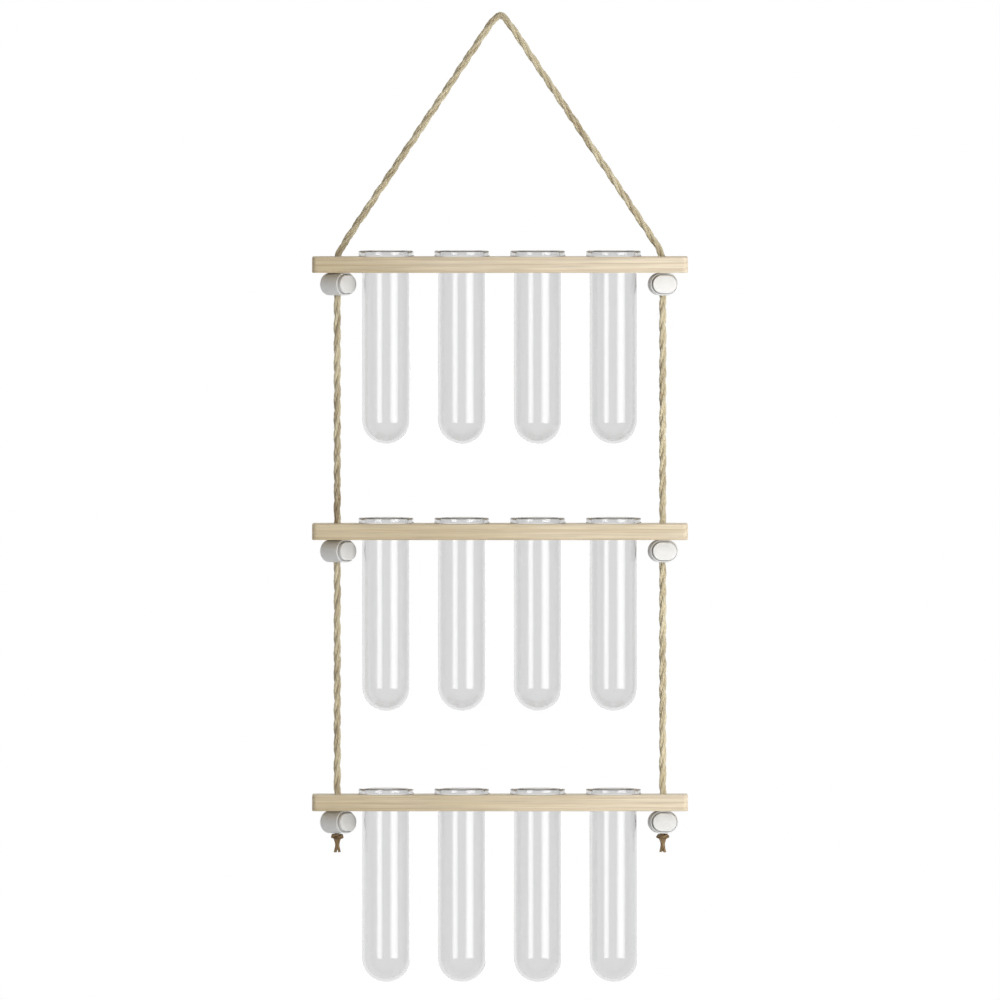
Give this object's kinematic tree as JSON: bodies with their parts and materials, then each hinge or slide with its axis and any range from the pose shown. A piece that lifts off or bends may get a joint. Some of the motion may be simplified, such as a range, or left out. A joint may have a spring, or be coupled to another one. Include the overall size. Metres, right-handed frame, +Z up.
{
  "type": "propagation vase",
  "caption": "Hanging propagation rack: bored wooden boards strung on one rope, carried by spring cord locks, with round-bottom glass tubes hanging by their rims.",
  "frame": {"origin": "axis of the nail that the rope hangs from, midway between the rope's straight runs", "axes": "+Z up, +X along the boards to the right seen from the front, -Y to the front"},
  "size_m": [0.2328, 0.05, 0.6014],
  "materials": {
    "pine": "bare sanded pine",
    "clear_glass": "clear fire-polished glass",
    "jute": "twisted jute rope",
    "white_plastic": "satin moulded plastic",
    "spring_steel": "drawn wire"
  },
  "bodies": {
    "root": {"rope": "jute", "left_knot": "jute", "right_knot": "jute", "top_board": "pine"},
    "middle_shelf": {"middle_board": "pine"},
    "bottom_shelf": {"bottom_board": "pine"},
    "top_tube_1": {"top_tube_1": "clear_glass"},
    "top_tube_2": {"top_tube_2": "clear_glass"},
    "top_tube_3": {"top_tube_3": "clear_glass"},
    "top_tube_4": {"top_tube_4": "clear_glass"},
    "top_left_lock": {"top_left_lock_barrel": "white_plastic", "top_left_lock_spring": "spring_steel"},
    "top_left_button": {"top_left_lock_button": "white_plastic"},
    "top_right_lock": {"top_right_lock_barrel": "white_plastic", "top_right_lock_spring": "spring_steel"},
    "top_right_button": {"top_right_lock_button": "white_plastic"},
    "middle_tube_1": {"middle_tube_1": "clear_glass"},
    "middle_tube_2": {"middle_tube_2": "clear_glass"},
    "middle_tube_3": {"middle_tube_3": "clear_glass"},
    "middle_tube_4": {"middle_tube_4": "clear_glass"},
    "middle_left_lock": {"middle_left_lock_barrel": "white_plastic", "middle_left_lock_spring": "spring_steel"},
    "middle_left_button": {"middle_left_lock_button": "white_plastic"},
    "middle_right_lock": {"middle_right_lock_barrel": "white_plastic", "middle_right_lock_spring": "spring_steel"},
    "middle_right_button": {"middle_right_lock_button": "white_plastic"},
    "bottom_tube_1": {"bottom_tube_1": "clear_glass"},
    "bottom_tube_2": {"bottom_tube_2": "clear_glass"},
    "bottom_tube_3": {"bottom_tube_3": "clear_glass"},
    "bottom_tube_4": {"bottom_tube_4": "clear_glass"},
    "bottom_left_lock": {"bottom_left_lock_barrel": "white_plastic", "bottom_left_lock_spring": "spring_steel"},
    "bottom_left_button": {"bottom_left_lock_button": "white_plastic"},
    "bottom_right_lock": {"bottom_right_lock_barrel": "white_plastic", "bottom_right_lock_spring": "spring_steel"},
    "bottom_right_button": {"bottom_right_lock_button": "white_plastic"}
  },
  "joints": [
    {"name": "middle_shelf_slide", "type": "slide", "parent": "root", "child": "middle_shelf", "axis": [0, 0, -1], "range_m": [-0.044, 0.046]},
    {"name": "bottom_shelf_slide", "type": "slide", "parent": "root", "child": "bottom_shelf", "axis": [0, 0, -1], "range_m": [-0.046, 0]},
    {"name": "top_tube_1_lift", "type": "slide", "parent": "root", "child": "top_tube_1", "axis": [0, 0, 1], "range_m": [0, 0.013]},
    {"name": "top_tube_2_lift", "type": "slide", "parent": "root", "child": "top_tube_2", "axis": [0, 0, 1], "range_m": [0, 0.08]},
    {"name": "top_tube_3_lift", "type": "slide", "parent": "root", "child": "top_tube_3", "axis": [0, 0, 1], "range_m": [0, 0.08]},
    {"name": "top_tube_4_lift", "type": "slide", "parent": "root", "child": "top_tube_4", "axis": [0, 0, 1], "range_m": [0, 0.013]},
    {"name": "top_left_lock_swivel", "type": "hinge", "parent": "root", "child": "top_left_lock", "pos_m": [-0.10091, 0, -0.16215], "axis": [0, 0, 1], "continuous": true},
    {"name": "top_left_button_press", "type": "slide", "parent": "top_left_lock", "child": "top_left_button", "axis": [-0.7431, 0.6691, 0], "range_m": [0, 0.002], "stiffness_N_per_m": 900, "springref_m": -0.004, "deforming": ["top_left_lock_spring"]},
    {"name": "top_right_lock_swivel", "type": "hinge", "parent": "root", "child": "top_right_lock", "pos_m": [0.10091, 0, -0.16215], "axis": [0, 0, 1], "continuous": true},
    {"name": "top_right_button_press", "type": "slide", "parent": "top_right_lock", "child": "top_right_button", "axis": [-0.1392, 0.9903, 0], "range_m": [0, 0.002], "stiffness_N_per_m": 900, "springref_m": -0.004, "deforming": ["top_right_lock_spring"]},
    {"name": "middle_tube_1_lift", "type": "slide", "parent": "middle_shelf", "child": "middle_tube_1", "axis": [0, 0, 1], "range_m": [0, 0.044]},
    {"name": "middle_tube_2_lift", "type": "slide", "parent": "middle_shelf", "child": "middle_tube_2", "axis": [0, 0, 1], "range_m": [0, 0.044]},
    {"name": "middle_tube_3_lift", "type": "slide", "parent": "middle_shelf", "child": "middle_tube_3", "axis": [0, 0, 1], "range_m": [0, 0.044]},
    {"name": "middle_tube_4_lift", "type": "slide", "parent": "middle_shelf", "child": "middle_tube_4", "axis": [0, 0, 1], "range_m": [0, 0.044]},
    {"name": "middle_left_lock_swivel", "type": "hinge", "parent": "middle_shelf", "child": "middle_left_lock", "pos_m": [-0.10091, 0, -0.32765], "axis": [0, 0, 1], "continuous": true},
    {"name": "middle_left_button_press", "type": "slide", "parent": "middle_left_lock", "child": "middle_left_button", "axis": [-0.7431, 0.6691, 0], "range_m": [0, 0.002], "stiffness_N_per_m": 900, "springref_m": -0.004, "deforming": ["middle_left_lock_spring"]},
    {"name": "middle_right_lock_swivel", "type": "hinge", "parent": "middle_shelf", "child": "middle_right_lock", "pos_m": [0.10091, 0, -0.32765], "axis": [0, 0, 1], "continuous": true},
    {"name": "middle_right_button_press", "type": "slide", "parent": "middle_right_lock", "child": "middle_right_button", "axis": [-0.1392, 0.9903, 0], "range_m": [0, 0.002], "stiffness_N_per_m": 900, "springref_m": -0.004, "deforming": ["middle_right_lock_spring"]},
    {"name": "bottom_tube_1_lift", "type": "slide", "parent": "bottom_shelf", "child": "bottom_tube_1", "axis": [0, 0, 1], "range_m": [0, 0.044]},
    {"name": "bottom_tube_2_lift", "type": "slide", "parent": "bottom_shelf", "child": "bottom_tube_2", "axis": [0, 0, 1], "range_m": [0, 0.044]},
    {"name": "bottom_tube_3_lift", "type": "slide", "parent": "bottom_shelf", "child": "bottom_tube_3", "axis": [0, 0, 1], "range_m": [0, 0.044]},
    {"name": "bottom_tube_4_lift", "type": "slide", "parent": "bottom_shelf", "child": "bottom_tube_4", "axis": [0, 0, 1], "range_m": [0, 0.044]},
    {"name": "bottom_left_lock_swivel", "type": "hinge", "parent": "bottom_shelf", "child": "bottom_left_lock", "pos_m": [-0.10091, 0, -0.49565], "axis": [0, 0, 1], "continuous": true},
    {"name": "bottom_left_button_press", "type": "slide", "parent": "bottom_left_lock", "child": "bottom_left_button", "axis": [-0.7431, 0.6691, 0], "range_m": [0, 0.002], "stiffness_N_per_m": 900, "springref_m": -0.004, "deforming": ["bottom_left_lock_spring"]},
    {"name": "bottom_right_lock_swivel", "type": "hinge", "parent": "bottom_shelf", "child": "bottom_right_lock", "pos_m": [0.10091, 0, -0.49565], "axis": [0, 0, 1], "continuous": true},
    {"name": "bottom_right_button_press", "type": "slide", "parent": "bottom_right_lock", "child": "bottom_right_button", "axis": [-0.1392, 0.9903, 0], "range_m": [0, 0.002], "stiffness_N_per_m": 900, "springref_m": -0.004, "deforming": ["bottom_right_lock_spring"]}
  ]
}
